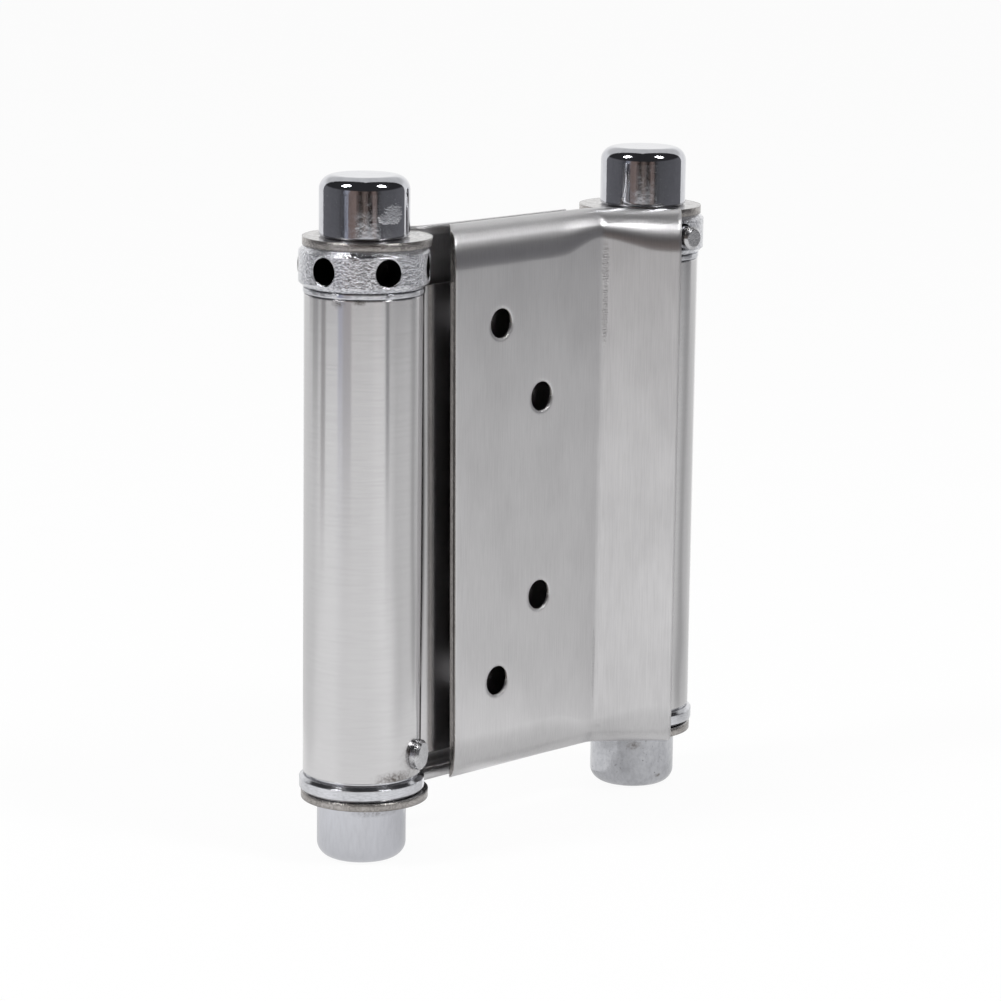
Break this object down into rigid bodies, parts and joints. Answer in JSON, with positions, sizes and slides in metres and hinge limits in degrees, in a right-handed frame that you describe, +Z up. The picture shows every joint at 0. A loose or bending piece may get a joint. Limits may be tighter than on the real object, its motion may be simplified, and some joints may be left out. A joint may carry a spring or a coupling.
{
  "type": "double action spring hinge",
  "caption": "Double action cafe door hinge: a web rolled into a sprung barrel at each side, a recessed leaf hung on each barrel, bright caps, adjusting collars and tension pins.",
  "frame": {"origin": "on the floor under the middle of the closed hinge, which stands on its lower caps", "axes": "+Z up along the barrels; +X from the left barrel to the right one; the front leaf faces -Y"},
  "size_m": [0.0944, 0.028, 0.1214],
  "materials": {
    "barrel_sheet": "satin nickel plate over drawn sheet steel",
    "leaf_sheet": "satin nickel plate with an upright brushed grain",
    "bright_cap": "bright plated, mirror-like with small pits",
    "cast_collar": "bright plated over a slightly bumpy casting",
    "cast_bush": "bright plated over a slightly bumpy casting",
    "bright_washer": "bright plated washer",
    "rivet_steel": "plated steel rivet, dulled",
    "pin_steel": "plated steel pin",
    "spindle_steel": "bright drawn steel, oiled",
    "spring_wire": "dark oiled spring steel"
  },
  "bodies": {
    "body": {"body_shell": "barrel_sheet", "left_bush": "cast_bush", "right_bush": "cast_bush", "left_rivet": "rivet_steel", "right_rivet": "rivet_steel", "left_washer": "bright_washer", "right_washer": "bright_washer", "left_spring": "spring_wire", "right_spring": "spring_wire"},
    "front_leaf": {"front_leaf": "leaf_sheet", "right_top_cap": "bright_cap", "right_bottom_cap": "bright_cap", "right_spindle": "spindle_steel"},
    "rear_leaf": {"rear_leaf": "leaf_sheet", "left_top_cap": "bright_cap", "left_bottom_cap": "bright_cap", "left_spindle": "spindle_steel"},
    "right_collar": {"right_collar": "cast_collar"},
    "left_collar": {"left_collar": "cast_collar"},
    "right_pin": {"right_pin": "pin_steel"},
    "left_pin": {"left_pin": "pin_steel"}
  },
  "joints": [
    {"name": "front_leaf_swing", "type": "hinge", "parent": "body", "child": "front_leaf", "pos_m": [0.0358, 0, 0.0607], "axis": [0, 0, 1], "range_deg": [0, 180], "stiffness_Nm_per_rad": 0.3, "springref_deg": -60.16, "deforming": ["right_spring"]},
    {"name": "rear_leaf_swing", "type": "hinge", "parent": "body", "child": "rear_leaf", "pos_m": [-0.0358, 0, 0.0607], "axis": [0, 0, 1], "range_deg": [0, 180], "stiffness_Nm_per_rad": 0.3, "springref_deg": -60.16, "deforming": ["left_spring"]},
    {"name": "right_collar_turn", "type": "hinge", "parent": "front_leaf", "child": "right_collar", "pos_m": [0.0358, 0, 0.1056], "axis": [0, 0, 1], "range_deg": [0, 240]},
    {"name": "left_collar_turn", "type": "hinge", "parent": "rear_leaf", "child": "left_collar", "pos_m": [-0.0358, 0, 0.1056], "axis": [0, 0, 1], "range_deg": [-40, 200]},
    {"name": "right_pin_pull", "type": "slide", "parent": "right_collar", "child": "right_pin", "axis": [-0.0872, -0.9962, 0], "range_m": [-0.0024, 0.0033]},
    {"name": "left_pin_pull", "type": "slide", "parent": "left_collar", "child": "left_pin", "axis": [-0.6157, 0.788, 0], "range_m": [0, 0.0056]}
  ]
}
